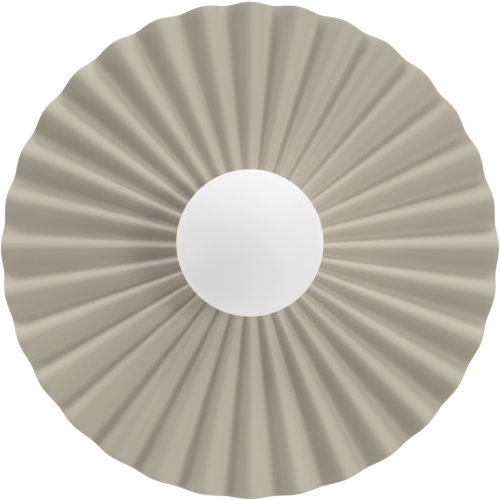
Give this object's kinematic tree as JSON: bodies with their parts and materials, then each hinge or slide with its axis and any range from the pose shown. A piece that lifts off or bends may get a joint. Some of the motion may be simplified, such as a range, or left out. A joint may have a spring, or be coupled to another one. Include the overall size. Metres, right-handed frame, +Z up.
{
  "type": "wall lamp",
  "caption": "Wall lamp with a radially pleated round metal disc and an opal glass globe that screws into a threaded cup at its centre, on a round base cup over a wall bracket.",
  "frame": {"origin": "centre of the wall bracket's back face, on the wall plane and on the lamp's axis", "axes": "+Y into the wall, the lamp stands out along -Y, +Z up, +X to the right as seen from the room"},
  "size_m": [0.36, 0.1433, 0.36],
  "materials": {
    "greige_powder_coat": "satin powder coat with a fine texture",
    "zinc_plated_steel": "bright zinc plating",
    "brass": "turned, satin",
    "aluminium": "turned, satin",
    "black_rubber": "matte",
    "grey_rubber": "matte",
    "fibre": "vulcanised fibre, matte",
    "white_insulation": "moulded, matte",
    "white_ceramic": "glazed ceramic, opaque",
    "opal_glass": "matte white opal, etched",
    "brown_sleeve": "smooth insulation",
    "blue_sleeve": "smooth insulation",
    "earth_sleeve": "green and yellow insulation",
    "bulb_white": "moulded, soft gloss",
    "bulb_frosted": "frosted",
    "led_core": "board with yellow chips"
  },
  "bodies": {
    "fixture": {"pleated_disc": "greige_powder_coat", "base_cup": "greige_powder_coat", "base_side_screws": "zinc_plated_steel", "wall_bracket": "zinc_plated_steel", "cable_bush": "black_rubber", "terminal_body": "white_insulation", "terminal_tubes": "brass", "terminal_screws": "zinc_plated_steel", "terminal_fixings": "zinc_plated_steel", "earth_screws": "brass", "earth_tags": "zinc_plated_steel", "live_lead": "brown_sleeve", "neutral_lead": "blue_sleeve", "earth_link": "earth_sleeve", "earth_lead": "earth_sleeve", "lamp_cup": "greige_powder_coat", "cup_lock_ring": "zinc_plated_steel", "disc_washer": "fibre", "disc_ring": "greige_powder_coat", "cup_bush": "white_insulation", "lampholder_body": "white_ceramic", "lampholder_contacts": "brass", "lampholder_screws": "zinc_plated_steel"},
    "seal": {"globe_seal": "grey_rubber"},
    "globe": {"globe": "opal_glass", "globe_collar": "aluminium"},
    "bulb": {"bulb_base": "bulb_white", "bulb_pins": "zinc_plated_steel", "bulb_core": "led_core", "bulb_cover": "bulb_frosted"}
  },
  "joints": [
    {"name": "globe_travel", "type": "slide", "parent": "fixture", "child": "seal", "axis": [0, -1, 0], "range_m": [0, 0.006]},
    {"name": "globe_turn", "type": "hinge", "parent": "seal", "child": "globe", "pos_m": [0, -0.0933, 0], "axis": [0, -1, 0], "range_deg": [0, 540]},
    {"name": "bulb_pull", "type": "slide", "parent": "fixture", "child": "bulb", "axis": [0, -1, 0], "range_m": [0, 0.016]}
  ],
  "couplings": [
    {"joint": "globe_travel", "follows": "globe_turn", "m_per_rad": 0.00063662}
  ]
}
